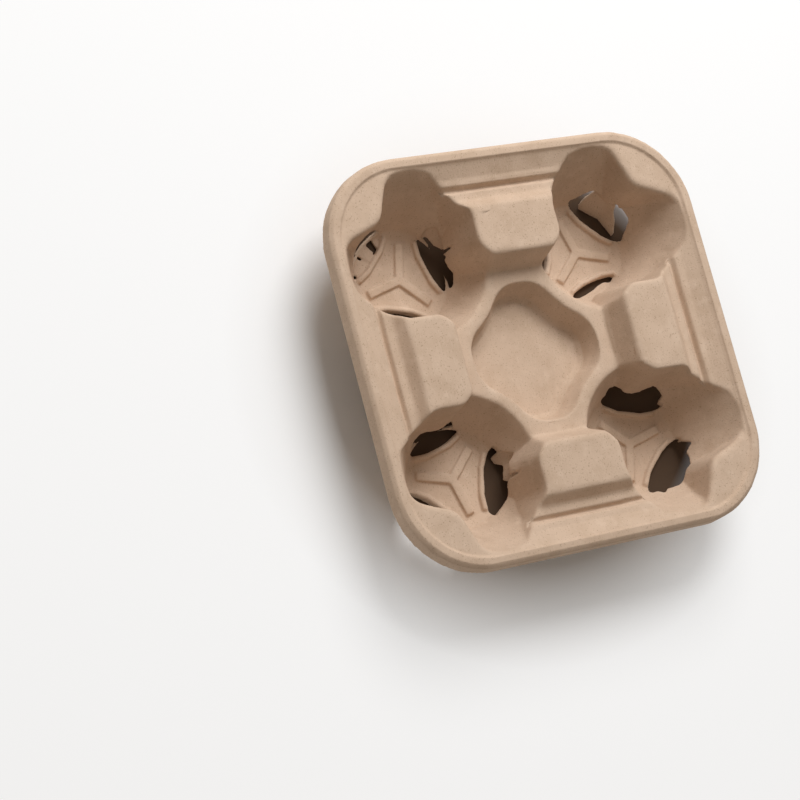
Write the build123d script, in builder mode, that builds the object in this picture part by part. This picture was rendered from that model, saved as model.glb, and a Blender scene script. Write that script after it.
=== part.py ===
from build123d import *
from math import cos, hypot, radians, sin, tan
import os

# Moulded-pulp carrier tray for four cups, one piece, in millimetres.
# The tray rests on the floors of its wells, with z = 0 under them and the openings upward.
# Its upper and lower faces are one form made twice: the lower face is the same form,
# set back by the wall thickness, so the wall is even everywhere, as moulded pulp is.

# Whole tray
tray_width = 213.2          # across the skirt at its lower edge
tray_height = 45.0
corner_radius = 45.0        # of the skirt, seen from above
sides = 4                   # the tray repeats itself on each side, with a well at each corner
wall = 2.2

# Rim: a bead round the edge with a skirt turned down outside it
skirt_height = 9.5
skirt_draft = 3.5           # degrees
bead_width = 6.2
bead_step = 1.3             # how far the bead stands above the shoulders
bead_bevel = 1.9
bead_lean = 35.0            # degrees, of the bead's inner side

# Cup wells: a cone each, narrowed by the noses of the pads and shoulders
well_floor_radius = 25.0
well_floor_bevel = 3.0
rim_gap = 0.6               # flat left between a well's mouth and the bead

# One side of the tray in section: widths in turn, from the bead inward
rim_slope_run = 7.5
ledge_width = 3.7
groove_rise_run = 1.6
groove_fall_run = 1.4
channel_width = 4.8
pad_back_run = 5.1
pad_length = 25.8
pad_front_run = 5.9
land_run = 7.0              # from the foot of a pad to the end of the pocket

# and levels, measured down from the flat shoulders
channel_depth = 6.1
groove_depth = 1.9          # below the channel
ledge_depth = 4.2
ledge_fall = 0.8            # from the ledge's outer edge to its inner one
pad_edge_round = 3.0
pad_foot_round = 5.0        # where the inner slope meets the land
groove_round = 0.8
channel_end_gap = 4.4       # from a channel's end to the middle of the well beside it

# Pads: raised lands in the middle of each side, between two wells
pad_flank_gap = 29.5        # from a pad's flank to the middle of the well beside it
pad_draft = 8.0             # degrees, on the flanks that face the wells
pad_flare = 6.5             # how much the pad widens behind its waist
pad_flare_length = 11.4
pad_waist_inset = 2.5       # from the pad's outer edge to its waist
pad_root_flare = 19.6       # how much more it widens on its way to the rim
pad_flare_round = 9.0
pad_neck_inset = 11.8       # how much it narrows where it runs in under the land
pad_neck_length = 6.0
pad_neck_sink = 1.0

# Shoulders: the flat corners, each with a blunt nose towards its well
nose_reach = 21.3           # from the well's middle to the nose's tip, both ways
nose_hip_inset = 7.8        # from the tip to where the nose turns out to the rim
nose_hip_run = 19.2
nose_root_inset = 15.6      # and from there to its root in the rim
nose_draft = 3.0            # degrees
nose_round = 10.0
brow_bevel = 1.8            # edge between a shoulder and its well
bevel_lean = 45.0           # degrees

# Land round the centre pocket, and the pocket
land_level = 28.0
land_width = 6.0            # between a well's edge and the pocket
pocket_corner_round = 11.7  # at its floor; it grows with the draft to 18 at the land
pocket_corner_share = 1.4   # the most that this may be, as a share of the room at a corner
pocket_depth = 14.5
pocket_draft = 18.0         # degrees
pocket_floor_bevel = 2.4

# Well floors: a platform with three arms, a Y-shaped rib and three tongue slots
slots_in_a_well = 3
slot_half_angle = 37.0      # degrees, half the opening seen from the well's axis
slot_neck = 17.5            # from the well's axis to the middle of the platform's edge
slot_bite = 3.5             # how far a slot reaches out past the floor
slot_top = 10.0             # how high the slots run up the wall
rib_width = 4.6
rib_height = 1.8
rib_length = 20.0
edge_bead_width = 2.8
edge_bead_height = 1.6
edge_bead_setback = 1.3     # from the platform's edge to the bead's middle
edge_bead_flat = 14.0       # length of the bead's straight middle
edge_bead_reach = 23.0      # from the well's axis to the bead's ends
edge_bead_spread = 38.5     # degrees, half the opening between its ends

# Room for the cuts
base_depth = 1.0            # how far the solids run below the tray before they are trimmed
cut_headroom = 5.0          # how far the cuts run above it
hidden_bevel = 0.4          # on the lower form, a bevel's length for each mm of the round above it

# Levels and places that follow
half_width = tray_width / 2
skirt_level = tray_height - skirt_height
shoulder_level = tray_height - bead_step
well_floor = wall
cut_top = tray_height + cut_headroom
bead_inner = half_width - skirt_height * tan(radians(skirt_draft)) - bead_width
ledge_outer = bead_inner - rim_slope_run
ledge_inner = ledge_outer - ledge_width
groove_centre = ledge_inner - groove_rise_run
channel_outer = groove_centre - groove_fall_run
channel_inner = channel_outer - channel_width
pad_outer = channel_inner - pad_back_run
pad_inner = pad_outer - pad_length
pad_middle = (pad_inner + pad_outer) / 2
pad_foot = pad_inner - pad_front_run
pocket_reach = pad_foot - land_run
channel_level = shoulder_level - channel_depth
ledge_level = shoulder_level - ledge_depth
well_offset = tray_width / 4
well_diagonal = well_offset * 2 ** 0.5
pad_half_width = well_offset - pad_flank_gap
well_mouth_radius = bead_inner - well_offset - rim_gap
well_slope = (well_mouth_radius - well_floor_radius) / (shoulder_level - well_floor)
well_radius_at_land = well_floor_radius + well_slope * (land_level - well_floor)


def block(depth):
    """The bulk of the tray up to the rim; below the skirt the lower form runs out wide."""
    spare = 2 * wall if depth > 0 else 0
    with BuildPart() as bulk:
        with BuildSketch(Plane.XY.offset(skirt_level)):
            RectangleRounded(tray_width - 2 * depth, tray_width - 2 * depth, corner_radius - depth)
        extrude(amount=skirt_height - depth, taper=skirt_draft)
        if depth == 0:
            chamfer(bulk.faces().sort_by(Axis.Z)[-1].edges(), bead_bevel)
        with BuildSketch(Plane.XY.offset(-base_depth - depth)):
            RectangleRounded(tray_width + 2 * spare, tray_width + 2 * spare, corner_radius + spare)
        extrude(amount=skirt_level + base_depth + depth)
    return bulk.part


def well_cone(depth):
    """One cup well about the z axis, as a solid to be cut away."""
    slant = hypot(1, well_slope)
    floor = well_floor - depth
    floor_radius = well_floor_radius + depth * (slant - well_slope)
    top_radius = floor_radius + well_slope * (cut_top - floor)
    with BuildPart() as cone:
        with BuildSketch(Plane.XZ):
            with BuildLine():
                Polyline((0, floor), (floor_radius, floor), (top_radius, cut_top), (0, cut_top), close=True)
            make_face()
            corner = [v for v in vertices() if abs(v.X - floor_radius) < 0.01 and abs(v.Y - floor) < 0.01]
            chamfer(corner, well_floor_bevel)
        revolve(axis=Axis.Z)
    return cone.part


def nose_outline(outline, soft_points, soft_radius, spread, rounded):
    """A nose's outline, spread outward by this much, with the given corners rounded or bevelled."""
    with BuildSketch() as plan:
        with BuildLine():
            Polyline(outline, close=True)
        make_face()
        soft = [v for v in vertices() if any(hypot(v.X - x, v.Y - y) < 0.01 for x, y in soft_points)]
        if rounded:
            fillet(soft, soft_radius)
        else:
            chamfer(soft, soft_radius * hidden_bevel)
        offset(amount=spread, kind=Kind.INTERSECTION)
    return plan.sketch


def drafted_nose(outline, soft_points, soft_radius, draft, depth, brow=0):
    """A block that narrows upward to the outline at shoulder level, its top edge cut back by the brow."""
    rounded = depth == 0
    rise = shoulder_level + base_depth - brow
    gain = rise * tan(radians(draft))
    with BuildPart() as nose:
        with BuildSketch(Plane.XY.offset(-base_depth - depth)):
            add(nose_outline(outline, soft_points, soft_radius, gain - depth, rounded))
        if rounded:
            extrude(amount=rise, taper=draft)
        else:
            with BuildSketch(Plane.XY.offset(shoulder_level - depth)):
                add(nose_outline(outline, soft_points, soft_radius, -depth, rounded))
            loft(ruled=True)
        if brow > 0:
            extrude(nose.faces().sort_by(Axis.Z)[-1], amount=brow, taper=bevel_lean)
    return nose.part


def pad_nose(depth):
    """The pad on the far side (+y), flaring out into the rim."""
    waist = pad_outer - pad_waist_inset
    flared = pad_half_width + pad_flare
    right = [
        (pad_half_width - pad_neck_inset, pad_foot - pad_neck_sink),
        (pad_half_width, pad_inner + pad_neck_length),
        (pad_half_width, waist),
        (flared, waist + pad_flare_length),
        (flared + pad_root_flare, half_width),
    ]
    left = [(-x, y) for x, y in reversed(right)]
    soft = right[1:4] + left[1:4]
    return drafted_nose(right + left, soft, pad_flare_round, pad_draft, depth)


def shoulder_nose(depth):
    """The shoulder in the (+x, +y) corner with its blunt nose."""
    tip = well_offset + nose_reach
    hip = (tip - nose_hip_inset, tip + nose_hip_run)
    root = (hip[0] - nose_root_inset, half_width)
    outline = [root, hip, (tip, tip), hip[::-1], root[::-1], (half_width, half_width)]
    brow = brow_bevel if depth == 0 else 0
    return drafted_nose(outline, outline[1:4], nose_round, nose_draft, depth, brow)


def side_channel(depth):
    """The space over the far side's pad, channel, groove, ledge and rim wall."""
    half_length = well_offset - channel_end_gap
    rounds = {
        pad_outer: pad_edge_round,
        channel_inner: pad_edge_round,
        channel_outer: groove_round,
        groove_centre: groove_round,
        ledge_inner: groove_round,
        ledge_outer: pad_edge_round,
    }
    with BuildPart() as space:
        with BuildSketch(Plane.YZ.offset(-half_length)):
            with BuildLine():
                Polyline(
                    (pad_middle, shoulder_level),
                    (pad_outer, shoulder_level),
                    (channel_inner, channel_level),
                    (channel_outer, channel_level),
                    (groove_centre, channel_level - groove_depth),
                    (ledge_inner, ledge_level - ledge_fall),
                    (ledge_outer, ledge_level),
                    (bead_inner, shoulder_level),
                    (bead_inner, cut_top),
                    (pad_middle, cut_top),
                    close=True,
                )
            make_face()
            if depth > 0:
                offset(amount=depth, kind=Kind.INTERSECTION)
            else:
                for place, radius in rounds.items():
                    corner = [v for v in vertices() if abs(v.X - place) < 0.01]
                    fillet(corner, radius)
        extrude(amount=2 * half_length)
    return space.part


def centre_pit(depth):
    """The space above the land and inside the four pads, as two crossed bars."""
    with BuildPart() as pit:
        for plane in (Plane.XZ, Plane.YZ):
            with BuildSketch(plane):
                with BuildLine():
                    right = [
                        (pad_foot, land_level),
                        (pad_inner, shoulder_level),
                        (pad_middle, shoulder_level),
                        (pad_middle, cut_top),
                    ]
                    left = [(-x, z) for x, z in reversed(right)]
                    Polyline(right + left, close=True)
                make_face()
                if depth > 0:
                    offset(amount=depth, kind=Kind.INTERSECTION)
                else:
                    for place, radius in ((pad_foot, pad_foot_round), (pad_inner, pad_edge_round)):
                        corners = [v for v in vertices() if abs(abs(v.X) - place) < 0.01]
                        fillet(corners, radius)
            extrude(amount=pad_foot, both=True)
    return pit.part


def centre_pocket(depth):
    """The pocket in the middle, built upward from its floor; its sides run beside the wells."""
    bevel = pocket_floor_bevel if depth == 0 else 0
    side_rise = pocket_depth + depth - bevel
    inset = side_rise * tan(radians(pocket_draft)) + bevel - depth
    reach = pocket_reach - inset
    side_radius = well_radius_at_land + land_width + inset
    tip = well_offset - (side_radius ** 2 - (well_offset - reach) ** 2) ** 0.5
    room = reach / 2 if tip > reach else min(tip, (reach - tip) / 2)
    with BuildPart() as pocket:
        with BuildSketch(Plane.XY.offset(land_level - pocket_depth - depth)):
            Rectangle(2 * reach, 2 * reach)
            with PolarLocations(well_diagonal, sides, start_angle=45):
                Circle(side_radius, mode=Mode.SUBTRACT)
            fillet(vertices(), min(pocket_corner_round, pocket_corner_share * room))
        if bevel > 0:
            extrude(amount=bevel, taper=-bevel_lean)
            extrude(pocket.faces().sort_by(Axis.Z)[-1], amount=side_rise, taper=-pocket_draft)
        else:
            extrude(amount=side_rise, taper=-pocket_draft)
        extrude(pocket.faces().sort_by(Axis.Z)[-1], amount=base_depth)
    return pocket.part


def well_space(depth):
    """The well in the (+x, +y) corner: its cone, less the noses that reach into it."""
    with BuildPart() as space:
        with Locations((well_offset, well_offset)):
            add(well_cone(depth))
        pad = pad_nose(depth)
        add(pad, mode=Mode.SUBTRACT)
        add(pad.rotate(Axis.Z, -90), mode=Mode.SUBTRACT)
        add(shoulder_nose(depth), mode=Mode.SUBTRACT)
    return space.part


def form(depth):
    """All that lies under the tray's upper face, or under its lower face when depth is the wall."""
    rise = cut_top - shoulder_level + depth
    inner = bead_inner + depth + rise * tan(radians(bead_lean))
    with BuildPart() as mass:
        add(block(depth))
        with PolarLocations(0, sides):
            add(well_space(depth), mode=Mode.SUBTRACT)
        with BuildSketch(Plane.XY.offset(cut_top)):
            RectangleRounded(2 * inner, 2 * inner, corner_radius - bead_width + inner - bead_inner)
        extrude(amount=-rise, taper=bead_lean, mode=Mode.SUBTRACT)
        with PolarLocations(0, sides):
            add(side_channel(depth), mode=Mode.SUBTRACT)
        add(centre_pit(depth), mode=Mode.SUBTRACT)
        add(centre_pocket(depth), mode=Mode.SUBTRACT)
    return mass.part


def slot_edge_centre():
    """How far from the well's axis the middle of a slot's inner edge arc lies."""
    chord = well_floor_radius * cos(radians(slot_half_angle))
    return (well_floor_radius ** 2 - slot_neck ** 2) / (2 * (chord - slot_neck))


def tongue_slot():
    """A slot in a well's floor on the +x side of its axis, running a little up the wall."""
    centre = slot_edge_centre()
    with BuildPart() as slot:
        with BuildSketch(Plane.XY.offset(-base_depth)):
            Circle(well_floor_radius + slot_bite)
            with Locations((centre, 0)):
                Circle(centre - slot_neck, mode=Mode.INTERSECT)
        extrude(amount=slot_top + base_depth)
    return slot.part


def floor_ribs():
    """The Y-shaped rib and the three beads on a well's floor, about the z axis."""
    root = well_floor - wall / 2
    near_x, near_y = slot_neck - edge_bead_setback, edge_bead_flat / 2
    spread = radians(edge_bead_spread)
    far_x, far_y = edge_bead_reach * cos(spread), edge_bead_reach * sin(spread)
    with BuildPart() as ribs:
        with BuildSketch(Plane.XY.offset(root)):
            with PolarLocations(rib_length / 2, slots_in_a_well, start_angle=180):
                Rectangle(rib_length, rib_width)
        extrude(amount=well_floor + rib_height - root)
        with BuildSketch(Plane.XY.offset(root)):
            for turn in range(0, 360, 360 // slots_in_a_well):
                with BuildLine(Plane.XY.rotated((0, 0, turn))) as path:
                    Polyline((far_x, -far_y), (near_x, -near_y), (near_x, near_y), (far_x, far_y))
                trace(path.line, edge_bead_width)
        extrude(amount=well_floor + edge_bead_height - root)
    return ribs.part


with BuildPart() as carrier_tray:
    add(form(0))
    well_places = PolarLocations(well_diagonal, sides, start_angle=45)
    with well_places:
        add(floor_ribs())
    add(form(wall), mode=Mode.SUBTRACT)
    with well_places:
        with PolarLocations(0, slots_in_a_well):
            add(tongue_slot(), mode=Mode.SUBTRACT)

carrier_tray.part.label = "carrier_tray"
os.makedirs("parts", exist_ok=True)
export_step(carrier_tray.part, "parts/carrier_tray.step")
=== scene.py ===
import math
import random

import bpy
from mathutils import Matrix, Vector
from mathutils.geometry import intersect_point_line


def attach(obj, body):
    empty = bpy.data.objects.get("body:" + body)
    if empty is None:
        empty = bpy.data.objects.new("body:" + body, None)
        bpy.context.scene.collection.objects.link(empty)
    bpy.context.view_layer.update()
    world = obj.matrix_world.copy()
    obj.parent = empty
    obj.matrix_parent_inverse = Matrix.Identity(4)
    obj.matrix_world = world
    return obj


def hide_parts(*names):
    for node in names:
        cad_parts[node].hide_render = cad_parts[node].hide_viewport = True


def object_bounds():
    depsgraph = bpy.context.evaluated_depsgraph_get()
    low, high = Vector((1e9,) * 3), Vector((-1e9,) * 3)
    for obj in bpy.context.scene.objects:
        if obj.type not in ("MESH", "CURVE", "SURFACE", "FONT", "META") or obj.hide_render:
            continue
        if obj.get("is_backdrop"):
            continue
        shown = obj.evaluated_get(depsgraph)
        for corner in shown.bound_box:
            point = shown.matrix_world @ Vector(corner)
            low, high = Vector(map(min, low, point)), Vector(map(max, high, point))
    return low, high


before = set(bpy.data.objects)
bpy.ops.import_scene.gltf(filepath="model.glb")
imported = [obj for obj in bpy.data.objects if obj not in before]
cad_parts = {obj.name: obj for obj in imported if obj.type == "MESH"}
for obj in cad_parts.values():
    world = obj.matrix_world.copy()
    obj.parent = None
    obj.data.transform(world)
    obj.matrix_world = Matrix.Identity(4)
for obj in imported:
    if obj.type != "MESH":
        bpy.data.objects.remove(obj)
low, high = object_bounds()

MM = 0.001
FULL_TURN = 360

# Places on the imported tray, in metres and degrees
TRAY_WIDTH = high.x - low.x
CORNER_RADIUS = 45.0 * MM
CORNER_CENTRE = TRAY_WIDTH / 2 - CORNER_RADIUS
SKIRT_HEIGHT = 9.5 * MM
SKIRT_LEVEL = high.z - SKIRT_HEIGHT
WALL = 2.2 * MM
MERGE_DISTANCE = 0.005 * MM
WELL_OFFSET = TRAY_WIDTH / 4
WELL_FLOOR_RADIUS = 25.0 * MM
WELL_SLOPE = 0.504
WELLS = {
    "far right": (1, 1),
    "far left": (-1, 1),
    "near left": (-1, -1),
    "near right": (1, -1),
}
# A well's first slot is the one towards the tray's corner
FIRST_SLOT = 45
SLOT_TURNS = (0, 120, 240)
SLOT_HALF_ANGLE = 34

# How soft and how rough the moulded pulp is
SKIN_CELL = 0.6 * MM
SMOOTHING_FACTOR = 0.5
SKIN_SMOOTHING = 2
BROW_SMOOTHING = 40
RIB_SMOOTHING = 8
MOST_TRIANGLES = 190000
LUMP_SIZE = 7.0 * MM
LUMP_DEPTH = 0.5 * MM
GRAIN_SIZE = 1.3 * MM
GRAIN_DEPTH = 0.2 * MM

# Torn slots, each named by its well and its direction from the well's axis. An outline goes round
# a tear: degrees from the slot's middle, then millimetres up the wall.
TEARS = {
    ("far left", 15): (
        (33, 2.5), (34, 9), (29, 12.6), (18, 9), (7.5, 7.2), (6, 9.5), (4, 10), (0, 8.4),
        (-2.6, 5.1), (-10, 4.1), (-19, 5.6), (-31, 5.7), (-34, 2.5),
    ),
    ("far left", 135): (
        (30, 2.5), (26, 3.8), (10, 3.2), (-8, 4.0), (-20, 3.4), (-29, 5.2), (-33, 2.5),
    ),
    ("far left", 255): (
        (33, 2.5), (27, 5), (12, 4.2), (0, 5.6), (-14, 4.4), (-30, 6), (-34, 2.5),
    ),
    ("far right", 45): (
        (37, 2.5), (28.4, 8.4), (24, 11.7), (19.5, 13.7), (9.4, 11), (-1.6, 10.2), (-3.4, 16.8),
        (-10, 12.5), (-12.9, 13.5), (-22, 13), (-26.7, 11.9), (-30.4, 8.2), (-38, 2.5),
    ),
    ("near left", 345): (
        (33.8, 2.2), (31.4, 6), (24.8, 13), (19.8, 11.8), (11.7, 10), (5.3, 9.6), (0.3, 8.7),
        (-7, 8.6), (-7.2, 5.6), (-18, 5), (-28, 4.6), (-34, 2.5),
    ),
    ("near left", 105): (
        (33, 2.5), (24, 6.5), (4, 5), (-12.7, 3.6), (-22.4, 4.4), (-25, 8), (-27, 4.6),
        (-34, 2.5),
    ),
}
TEAR_SETBACK = 5.5 * MM
TEAR_DEPTH = 14.0 * MM

# Tears and narrow slits through the pads' flanks, which stand inside the wells' walls; outlined
# in the same way
FLANK_TEARS = (
    (("far left", 15), ((7.5, 5), (7, 9), (3, 10.5), (-0.6, 12.2), (-3, 9.8), (-4, 5))),
    (
        ("far left", 15),
        (
            (7.0, 8), (6.6, 14.7), (6.4, 19.6), (4.2, 25), (3.5, 25), (4.5, 19.6), (4.0, 14.7),
            (4.0, 8),
        ),
    ),
    (
        ("near left", 345),
        ((20, 6), (19.2, 14.5), (9.7, 15.1), (2.7, 14.8), (-2.1, 12.7), (-8.8, 10.9), (-9.5, 6)),
    ),
    (
        ("near left", 345),
        (
            (4.0, 14), (4.3, 18.8), (4.4, 21.8), (2.7, 27), (2.0, 27), (2.0, 21.8), (1.6, 18.8),
            (0.4, 14),
        ),
    ),
)
FLANK_TEAR_SETBACK = -4.0 * MM

# The other slots have random ragged edges: between these heights, in millimetres, and kept this
# many degrees from the slot's ends
RAGGED_SEED = 4
RAGGED_POINTS = 9
RAGGED_FOOT = 2.5
RAGGED_LOW = 8.0
RAGGED_HIGH = 13.0
RAGGED_MARGIN = 2

# Slots whose outer part the pulp still closes, with the height in millimetres from which it does
LIPS = {
    ("far left", 15): 3.0,
    ("far left", 135): 2.0,
    ("far left", 255): 3.0,
    ("far right", 285): 1.0,
    ("near left", 105): 3.0,
}
LIP_TOP = 10.5 * MM
LIP_HALF_ANGLE = 40
LIP_STEPS = 90

# Torn flaps that hang behind a tear, outlined on the wall in the same way as the tears
FLAPS = {
    ("far left", 15): (
        (36, 4.5), (31, 13.5), (19, 10.2), (8, 8.4), (9, 6.4), (17, 4.4), (28, 4.8),
    ),
    ("far right", 45): (
        (22, 0.6), (24.5, 3), (23, 8), (17, 15), (5, 15.5), (-5, 15), (-10.5, 9.5), (-18.5, 6.6),
        (-28, 2.6), (-30, 0.6), (-4, 0.8),
    ),
    ("near left", 345): (
        (31, 0.8), (25, 0.8), (22.3, 1.3), (17.8, 5.4), (10.5, 4.2), (3.3, 3.8), (1.7, 6),
        (0.5, 11), (5, 13), (15, 14.5), (25, 15.5), (31, 11), (33, 5),
    ),
}
FLAP_SETBACK = 2.7 * MM
FLAP_THICKNESS = 1.6 * MM

# Flaps that lie across a slot at the level of the floor: degrees from its middle, millimetres
# from the well's axis. Each second one lies a step higher.
FLOOR_FLAPS = {
    ("far left", 135): (
        ((-24, 20), (-30, 20.8), (-37, 23.5), (-35, 27), (-24, 27)),
        ((4, 17.6), (-6, 18.4), (-14, 19.6), (-12, 27), (5, 27)),
        ((31, 21.5), (18, 19.2), (7, 18.6), (8, 27), (30, 27)),
    ),
    ("far right", 285): (
        (
            (-31, 25.6), (-22, 24), (-13, 22.6), (0, 21.6), (10, 21), (18, 21.4), (23, 22.6),
            (27, 25.5), (27, 28), (10, 28.5), (-10, 28.5), (-31, 28),
        ),
    ),
}
FLOOR_FLAP_MIDDLE = 1.4 * MM
FLOOR_FLAP_STEP = 0.5 * MM

# Crisper relief on the floors of the wells, up to a top level: beads beside the slots, traced
# along and across a slot's middle line from the well's axis, and softer outer ends of the ribs
RELIEF_TOP = 6.0 * MM
BEAD_TRACE = ((16.2 * MM, 0.0), (16.2 * MM, 7.0 * MM), (18.0 * MM, 14.3 * MM))
BEAD_REACH = 1.6 * MM
BEAD_RISE = 1.0 * MM
RIB_FROM_SLOT = 45
RIB_END = 20.0 * MM
RIB_END_REACH = 3.5 * MM

# Crisper grooves along the sides of the tray
GROOVE_PLACE = 87.0 * MM
GROOVE_END = 49.0 * MM
GROOVE_REACH = 2.0 * MM
GROOVE_LEVEL = 34.7 * MM
GROOVE_DROP = 1.2 * MM

# Soft brows round the wells, and the rough lower edge of the skirt
BROW_REACH = 47.0 * MM
BROW_LEVEL = 24.0 * MM
BROW_FADE = 4.0 * MM
DECKLE_HEIGHT = 3.0 * MM
DECKLE_SIZE = 3.0 * MM
DECKLE_DEPTH = 1.6 * MM
SKIRT_BAND = 3.5 * MM

# The pulp's surface and its colours
PULP_ROUGHNESS = 0.93
PULP_SHINE = 0.2
PULP_MID = (0.60, 0.450, 0.336, 1)
PULP_DEEP = (0.50, 0.364, 0.260, 1)
PULP_PALE = (0.68, 0.525, 0.405, 1)
PULP_FIBRE = (0.74, 0.60, 0.47, 1)
PULP_FLECK = (0.30, 0.20, 0.13, 1)
SPOTS = (1, 1, 1)
FIBRES = (1, 0.2, 0.2)
FIBRE_TILT = 0.3
# Colours laid over the middle one in turn: noise cells to the metre and detail, the band of the
# noise that shows, the strongest share, the form of the cells and their turn in degrees
PULP_LAYERS = (
    (PULP_DEEP, 70, 3, (0.42, 0.68), 0.55, SPOTS, 0),
    (PULP_PALE, 160, 2, (0.55, 0.75), 0.45, SPOTS, 0),
    (PULP_FIBRE, 1100, 1, (0.66, 0.76), 0.2, FIBRES, 15),
    (PULP_FIBRE, 1100, 1, (0.66, 0.76), 0.2, FIBRES, 75),
    (PULP_FIBRE, 1100, 1, (0.66, 0.76), 0.2, FIBRES, 130),
    (PULP_FLECK, 1500, 0, (0.70, 0.76), 0.5, SPOTS, 0),
)
BUMP_CELLS = 1100
BUMP_DETAIL = 4
BUMP_STRENGTH = 0.35
BUMP_DEPTH = 0.3 * MM

# The floor, which glows beyond the tray so that it shows white there
FLOOR_SIZE = 12.0
FLOOR_ROUGHNESS = 0.9
FLOOR_SHINE = 0.1
FLOOR_COLOUR = (0.9, 0.9, 0.9, 1)
FLOOR_GLOW = 0.6
GLOW_START = TRAY_WIDTH * 0.5
GLOW_FULL = TRAY_WIDTH * 0.75
# Shade painted into the floor's colour: under the tray it is dark in a square with a soft edge,
# so that the torn slots look onto painted shade
SHADE_COLOUR = (0.085, 0.054, 0.035, 1)
SHADE_MIDDLE = (8.0 * MM, 2.0 * MM, 0)
SHADE_SQUARE = (58.0 * MM, 58.0 * MM, 0)
SHADE_CORE = 26.0 * MM
SHADE_REACH = 38.0 * MM

# Studio light, with the tray's far side towards +Y
WORLD_LIGHT = 0.30
WORLD_COLOUR = (1.0, 0.91, 0.81, 1)
KEY_PLACE = (0.26, 0.97, 1.13)
KEY_SIZE = 0.9
KEY_POWER = 22.0
KEY_COLOUR = (0.98, 0.99, 1.0)

# The camera, looking down on the tray from its near left corner
CAMERA_SENSOR = 36.0
CAMERA_LENS = 106.02
CAMERA_PLACE = (-0.593872, -0.204435, 1.057709)
CAMERA_AXES = (
    (0.88461076, -0.25227766, 0.39219866),
    (0.15844418, 0.95359841, 0.25601859),
    (-0.43858779, -0.16433521, 0.88353534),
)


def deselect_all():
    bpy.ops.object.select_all(action="DESELECT")


def use(piece):
    """Selects one piece and makes it the active one."""
    deselect_all()
    piece.select_set(True)
    bpy.context.view_layer.objects.active = piece


def apply_modifier(piece, kind, **settings):
    """Adds a modifier with these settings and applies it."""
    use(piece)
    modifier = piece.modifiers.new(kind.title(), kind)
    for name, value in settings.items():
        setattr(modifier, name, value)
    bpy.ops.object.modifier_apply(modifier=modifier.name)


def join_to(piece, others):
    """Joins the other pieces into this one."""
    deselect_all()
    for other in others:
        other.select_set(True)
    piece.select_set(True)
    bpy.context.view_layer.objects.active = piece
    bpy.ops.object.join()


def tray_blank():
    """A merged copy of the solid tray, to be worked into its soft pulp form."""
    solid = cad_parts["carrier_tray"]
    blank = solid.copy()
    blank.data = solid.data.copy()
    blank.name = "pulp_tray"
    blank.data.name = "pulp_tray"
    bpy.context.scene.collection.objects.link(blank)
    use(blank)
    bpy.ops.object.mode_set(mode="EDIT")
    bpy.ops.mesh.select_all(action="SELECT")
    bpy.ops.mesh.remove_doubles(threshold=MERGE_DISTANCE)
    bpy.ops.object.mode_set(mode="OBJECT")
    return blank


def slot_place(well, turn, angle, radius, height):
    """A point at this angle from a slot's middle, this far from its well's axis and this high."""
    across, along = WELLS[well]
    direction = math.radians(turn + angle)
    x = across * WELL_OFFSET + radius * math.cos(direction)
    y = along * WELL_OFFSET + radius * math.sin(direction)
    return Vector((x, y, height))


def wall_radius(height):
    """The radius of a well's upper face at this height."""
    return WELL_FLOOR_RADIUS + WELL_SLOPE * (height - WALL)


def slab(corners, thickness):
    """A slab of even thickness whose middle surface has these corners."""
    deselect_all()
    bpy.ops.mesh.primitive_circle_add(vertices=len(corners), fill_type="NGON")
    piece = bpy.context.object
    for vertex, corner in zip(piece.data.vertices, corners):
        vertex.co = corner
    piece.location = (0, 0, 0)
    bpy.ops.object.mode_set(mode="EDIT")
    bpy.ops.mesh.select_all(action="SELECT")
    bpy.ops.mesh.quads_convert_to_tris()
    bpy.ops.object.mode_set(mode="OBJECT")
    apply_modifier(piece, "SOLIDIFY", thickness=thickness, offset=0.0)
    return piece


def wall_slab(slot, outline, setback, thickness):
    """A slab that follows a well's wall, set back behind its upper face."""
    corners = []
    for angle, height in outline:
        radius = wall_radius(height * MM) + setback
        corners.append(slot_place(*slot, angle, radius, height * MM))
    return slab(corners, thickness)


def slot_lip(slot, lowest):
    """The strip of wall that closes a slot's outer part down to this height."""
    well, turn = slot
    centre = slot_place(well, turn, 0, 0, (lowest + LIP_TOP) / 2)
    deselect_all()
    bpy.ops.mesh.primitive_cone_add(
        vertices=LIP_STEPS,
        radius1=wall_radius(lowest) + WALL / 2,
        radius2=wall_radius(LIP_TOP) + WALL / 2,
        depth=LIP_TOP - lowest,
        end_fill_type="NOTHING",
        location=centre,
    )
    lip = bpy.context.object
    bpy.ops.object.transform_apply(location=True)
    middle = math.radians(turn)
    bpy.ops.object.mode_set(mode="EDIT")
    bpy.ops.mesh.select_all(action="DESELECT")
    bpy.ops.object.mode_set(mode="OBJECT")
    for face in lip.data.polygons:
        away = face.center - centre
        angle = math.remainder(math.atan2(away.y, away.x) - middle, math.tau)
        face.select = abs(angle) > math.radians(LIP_HALF_ANGLE)
    bpy.ops.object.mode_set(mode="EDIT")
    bpy.ops.mesh.delete(type="FACE")
    bpy.ops.object.mode_set(mode="OBJECT")
    apply_modifier(lip, "SOLIDIFY", thickness=WALL, offset=0.0)
    return lip


def floor_flap(slot, outline, middle):
    """A torn flap that lies across a slot, with its middle at this height."""
    corners = [slot_place(*slot, angle, radius * MM, middle) for angle, radius in outline]
    return slab(corners, FLAP_THICKNESS)


def ragged_outline():
    """A tear with a random ragged upper edge."""
    outline = [(SLOT_HALF_ANGLE, RAGGED_FOOT)]
    reach = SLOT_HALF_ANGLE - RAGGED_MARGIN
    for step in range(RAGGED_POINTS):
        angle = reach - step * 2 * reach / (RAGGED_POINTS - 1)
        outline.append((angle, random.uniform(RAGGED_LOW, RAGGED_HIGH)))
    return outline + [(-SLOT_HALF_ANGLE, RAGGED_FOOT)]


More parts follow.
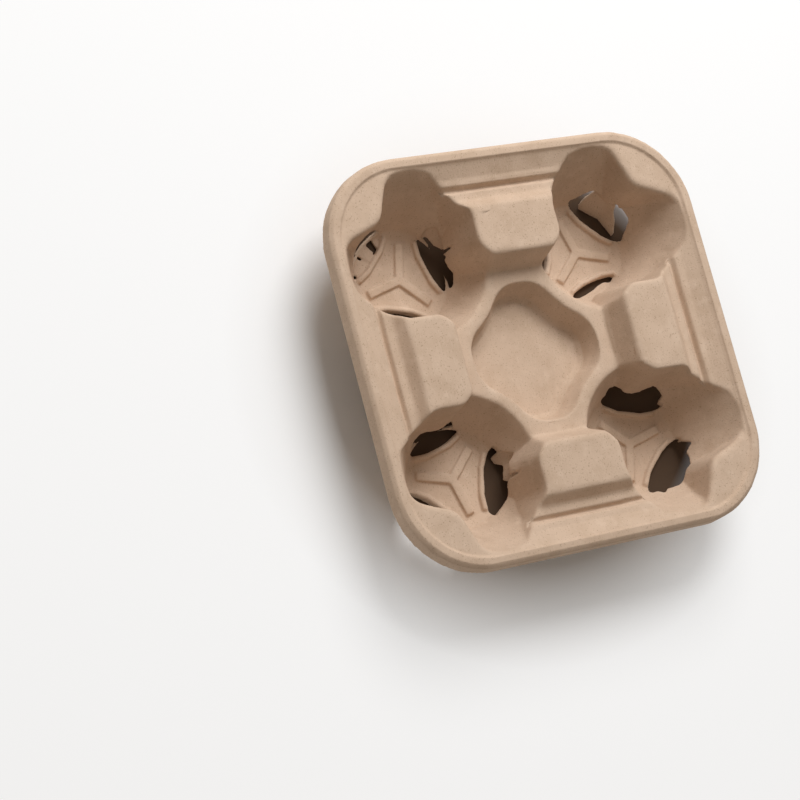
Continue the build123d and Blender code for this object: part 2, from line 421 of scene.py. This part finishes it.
def tear_slots(tray):
    """Closes some of the slots in part, tears all but one, and hangs flaps in some."""
    join_to(tray, [slot_lip(slot, lowest * MM) for slot, lowest in LIPS.items()])
    random.seed(RAGGED_SEED)
    cutters = []
    for well, (across, along) in WELLS.items():
        diagonal = round(math.degrees(math.atan2(along, across)))
        for turn in SLOT_TURNS:
            slot = (well, (diagonal + turn) % FULL_TURN)
            if slot in TEARS:
                outline = TEARS[slot]
            elif slot in LIPS:
                continue
            else:
                outline = ragged_outline()
            cutters.append(wall_slab(slot, outline, TEAR_SETBACK, TEAR_DEPTH))
    for slot, outline in FLANK_TEARS:
        cutters.append(wall_slab(slot, outline, FLANK_TEAR_SETBACK, TEAR_DEPTH))
    join_to(cutters[0], cutters[1:])
    apply_modifier(
        tray, "BOOLEAN",
        object=cutters[0], operation="DIFFERENCE", solver="EXACT", use_self=True,
    )
    bpy.data.objects.remove(cutters[0])

    flaps = []
    for slot, outline in FLAPS.items():
        flaps.append(wall_slab(slot, outline, FLAP_SETBACK, FLAP_THICKNESS))
    for slot, outlines in FLOOR_FLAPS.items():
        for step, outline in enumerate(outlines):
            middle = FLOOR_FLAP_MIDDLE + FLOOR_FLAP_STEP * (step % 2)
            flaps.append(floor_flap(slot, outline, middle))
    join_to(tray, flaps)


def weigh(tray, name, share):
    """Makes a vertex group in which each point has the weight that the share gives its place."""
    group = tray.vertex_groups.new(name=name)
    for vertex in tray.data.vertices:
        weight = share(vertex.co)
        if weight > 0:
            group.add([vertex.index], min(1.0, weight), "REPLACE")
    return group.name


def brow_share(place):
    """How much a place belongs to the soft brows round the mouths of the wells."""
    away = math.hypot(abs(place.x) - WELL_OFFSET, abs(place.y) - WELL_OFFSET)
    return min((BROW_REACH - away) / BROW_FADE, (place.z - BROW_LEVEL) / BROW_FADE)


def from_slot(place):
    """A place as seen from the nearest slot of its well: along its middle line and across it."""
    across, along = abs(place.x) - WELL_OFFSET, abs(place.y) - WELL_OFFSET
    away = math.hypot(across, along)
    direction = math.degrees(math.atan2(along, across)) - FIRST_SLOT
    angles = (math.remainder(direction - turn, FULL_TURN) for turn in SLOT_TURNS)
    angle = math.radians(min(angles, key=abs))
    return away * math.cos(angle), abs(away * math.sin(angle))


def bead_share(place):
    """How much a place belongs to one of the beads beside the slots."""
    if not WALL < place.z < RELIEF_TOP:
        return 0
    spot = Vector((*from_slot(place), 0))
    nearest = BEAD_REACH
    for start, end in zip(BEAD_TRACE, BEAD_TRACE[1:]):
        start, end = Vector((*start, 0)), Vector((*end, 0))
        foot, share = intersect_point_line(spot, start, end)
        if share < 0:
            foot = start
        elif share > 1:
            foot = end
        nearest = min(nearest, (spot - foot).length)
    return 1 - (nearest / BEAD_REACH) ** 2


def groove_share(place):
    """How much a place belongs to the bottom of one of the grooves along the sides."""
    if place.z < GROOVE_LEVEL:
        return 0
    x, y = abs(place.x), abs(place.y)
    shares = [0]
    for across, along in ((x, y), (y, x)):
        if along < GROOVE_END:
            shares.append(1 - ((across - GROOVE_PLACE) / GROOVE_REACH) ** 2)
    return max(shares)


def rib_end_share(place):
    """How much a place belongs to the outer end of a rib's arm."""
    if not WALL < place.z < RELIEF_TOP:
        return 0
    along, across = from_slot(place)
    if math.atan2(across, along) < math.radians(RIB_FROM_SLOT):
        return 0
    return 1 - abs(math.hypot(along, across) - RIB_END) / RIB_END_REACH


def skirt_edge_share(place):
    """How much a place belongs to the skirt's lower edge."""
    across = max(0.0, abs(place.x) - CORNER_CENTRE)
    along = max(0.0, abs(place.y) - CORNER_CENTRE)
    if math.hypot(across, along) < CORNER_RADIUS - SKIRT_BAND:
        return 0
    return (SKIRT_LEVEL + DECKLE_HEIGHT - place.z) / DECKLE_HEIGHT


def smooth(tray, times, group=""):
    """Smooths the tray this many times, or only the part that a vertex group weighs."""
    apply_modifier(
        tray, "SMOOTH", factor=SMOOTHING_FACTOR, iterations=times, vertex_group=group,
    )


def roughen(tray, name, size, depth, **settings):
    """Moves the tray's skin in and out by a noise with lumps of this size."""
    noise = bpy.data.textures.new(name, "CLOUDS")
    noise.noise_scale = size
    apply_modifier(
        tray, "DISPLACE",
        texture=noise, texture_coords="LOCAL", strength=depth, mid_level=0.5, **settings,
    )


def felted(tray):
    """Gives the tray the soft edges and slightly lumpy skin of moulded pulp."""
    apply_modifier(tray, "REMESH", mode="VOXEL", voxel_size=SKIN_CELL)
    smooth(tray, SKIN_SMOOTHING)
    smooth(tray, BROW_SMOOTHING, weigh(tray, "brows", brow_share))
    smooth(tray, RIB_SMOOTHING, weigh(tray, "rib ends", rib_end_share))
    reliefs = (("beads", bead_share, BEAD_RISE), ("grooves", groove_share, -GROOVE_DROP))
    for name, share, rise in reliefs:
        group = weigh(tray, name, share)
        apply_modifier(
            tray, "DISPLACE", direction="Z", strength=rise, mid_level=0.0, vertex_group=group,
        )
    triangles = 2 * len(tray.data.polygons)
    apply_modifier(tray, "DECIMATE", ratio=min(1.0, MOST_TRIANGLES / triangles))
    roughen(tray, "Lumps", LUMP_SIZE, LUMP_DEPTH)
    roughen(tray, "Grain", GRAIN_SIZE, GRAIN_DEPTH)
    edge = weigh(tray, "skirt edge", skirt_edge_share)
    roughen(tray, "Deckle", DECKLE_SIZE, DECKLE_DEPTH, direction="Z", vertex_group=edge)
    use(tray)
    bpy.ops.object.shade_smooth()


def plain_material(name, roughness, shine):
    """A material with one plain surface, and that surface."""
    material = bpy.data.materials.new(name)
    material.use_nodes = True
    surface = material.node_tree.nodes["Principled BSDF"]
    surface.inputs["Roughness"].default_value = roughness
    surface.inputs["Specular IOR Level"].default_value = shine
    return material, surface


def add_node(tree, kind, inputs, **settings):
    """Adds a shader node with these settings; each input is a value or another node's output."""
    node = tree.nodes.new("ShaderNode" + kind)
    for name, value in settings.items():
        setattr(node, name, value)
    for name, value in inputs.items():
        if isinstance(value, bpy.types.NodeSocket):
            tree.links.new(value, node.inputs[name])
        else:
            node.inputs[name].default_value = value
    return node


def mixed_colour(tree, below, above, share):
    """Lays one colour over another by a share that varies over the surface."""
    mix = add_node(tree, "Mix", {0: share, 6: below, 7: above}, data_type="RGBA")
    return mix.outputs[2]


def pulp_noise(tree, cells, detail, form=SPOTS, turn=0):
    """A noise of this many cells to the metre, which are spots or fibres."""
    place = add_node(tree, "TexCoord", {}).outputs["Object"]
    rotation = (FIBRE_TILT * turn, 0, math.radians(turn))
    mapping = {"Vector": place, "Scale": form, "Rotation": rotation}
    turned = add_node(tree, "Mapping", mapping).outputs["Vector"]
    noise = {"Vector": turned, "Scale": cells, "Detail": detail}
    return add_node(tree, "TexNoise", noise).outputs["Fac"]


def pulp_material():
    """Matt brown moulded pulp: mottled, with fibres, pale and dark specks and a fine grain."""
    pulp, surface = plain_material("pulp", PULP_ROUGHNESS, PULP_SHINE)
    tree = pulp.node_tree
    colour = PULP_MID
    for layer, cells, detail, (start, end), strongest, form, turn in PULP_LAYERS:
        noise = pulp_noise(tree, cells, detail, form, turn)
        band = {"Value": noise, "From Min": start, "From Max": end, "To Max": strongest}
        share = add_node(tree, "MapRange", band).outputs["Result"]
        colour = mixed_colour(tree, colour, layer, share)
    tree.links.new(colour, surface.inputs["Base Color"])

    height = pulp_noise(tree, BUMP_CELLS, BUMP_DETAIL)
    grain = {"Height": height, "Strength": BUMP_STRENGTH, "Distance": BUMP_DEPTH}
    normal = add_node(tree, "Bump", grain).outputs["Normal"]
    tree.links.new(normal, surface.inputs["Normal"])
    return pulp


def floor_shade(tree, place):
    """The share of the painted shade in the floor's colour: all under the tray, none beyond it.
    """
    steps = (
        ("SUBTRACT", SHADE_MIDDLE),
        ("ABSOLUTE", (0, 0, 0)),
        ("SUBTRACT", SHADE_SQUARE),
        ("MAXIMUM", (0, 0, 0)),
    )
    spot = place
    for operation, other in steps:
        step = add_node(tree, "VectorMath", {0: spot, 1: other}, operation=operation)
        spot = step.outputs["Vector"]
    distance = add_node(tree, "VectorMath", {0: spot}, operation="LENGTH").outputs["Value"]
    fade = {"Value": distance, "From Min": SHADE_REACH, "From Max": SHADE_CORE}
    return add_node(tree, "MapRange", fade, interpolation_type="SMOOTHSTEP").outputs["Result"]


def floor_glow(tree, place):
    """The share of the floor's own white: seen directly or mirrored, and beyond the tray."""
    rays = add_node(tree, "LightPath", {})
    seen = rays.outputs["Is Camera Ray"]
    for kind in ("Is Glossy Ray", "Is Transmission Ray"):
        either = {0: seen, 1: rays.outputs[kind]}
        seen = add_node(tree, "Math", either, operation="ADD", use_clamp=True).outputs["Value"]
    away = add_node(tree, "VectorMath", {0: place}, operation="LENGTH").outputs["Value"]
    ramp = {"Value": away, "From Min": GLOW_START, "From Max": GLOW_FULL, "To Max": FLOOR_GLOW}
    clear = add_node(tree, "MapRange", ramp).outputs["Result"]
    return add_node(tree, "Math", {0: seen, 1: clear}, operation="MULTIPLY").outputs["Value"]


def lay_floor():
    """A pale floor that shows white to the camera but keeps the tray's shadow, with shade painted
    dark into its colour under the tray.
    """
    deselect_all()
    bpy.ops.mesh.primitive_plane_add(size=FLOOR_SIZE)
    floor = bpy.context.object
    floor.name = "floor"
    material, surface = plain_material("floor", FLOOR_ROUGHNESS, FLOOR_SHINE)
    tree = material.node_tree
    place = add_node(tree, "TexCoord", {}).outputs["Object"]
    # Painted shade: the floor's colour turns dark under the tray
    colour = mixed_colour(tree, FLOOR_COLOUR, SHADE_COLOUR, floor_shade(tree, place))
    tree.links.new(colour, surface.inputs["Base Color"])

    white = add_node(tree, "Emission", {}).outputs["Emission"]
    layers = {0: floor_glow(tree, place), 1: surface.outputs["BSDF"], 2: white}
    shader = add_node(tree, "MixShader", layers).outputs["Shader"]
    tree.links.new(shader, tree.nodes["Material Output"].inputs["Surface"])
    floor.data.materials.append(material)
    floor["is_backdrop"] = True


def light_studio():
    """Even warm light all round, and one large soft lamp beyond the tray's far side."""
    world = bpy.context.scene.world or bpy.data.worlds.new("studio")
    bpy.context.scene.world = world
    world.use_nodes = True
    background = world.node_tree.nodes["Background"]
    background.inputs["Color"].default_value = WORLD_COLOUR
    background.inputs["Strength"].default_value = WORLD_LIGHT
    bpy.ops.object.light_add(type="AREA", location=KEY_PLACE)
    lamp = bpy.context.object
    lamp.name = "key lamp"
    lamp.data.shape = "DISK"
    lamp.data.size = KEY_SIZE
    lamp.data.energy = KEY_POWER
    lamp.data.color = KEY_COLOUR
    lamp.rotation_euler = (-Vector(KEY_PLACE)).to_track_quat("-Z", "Y").to_euler()
    lamp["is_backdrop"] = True


def stand_camera():
    """A camera with a long lens, a little over a metre from the tray."""
    bpy.ops.object.camera_add()
    camera = bpy.context.object
    camera.name = "camera"
    camera.data.sensor_width = CAMERA_SENSOR
    camera.data.lens = CAMERA_LENS
    turn = Matrix(CAMERA_AXES).transposed()
    camera.matrix_world = Matrix.Translation(CAMERA_PLACE) @ turn.to_4x4()
    bpy.context.scene.camera = camera


tray = tray_blank()
tear_slots(tray)
felted(tray)
tray.data.materials.clear()
tray.data.materials.append(pulp_material())
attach(tray, "root")
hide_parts("carrier_tray")

lay_floor()
light_studio()
stand_camera()
bpy.context.scene.view_settings.view_transform = "Standard"

low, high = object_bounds()
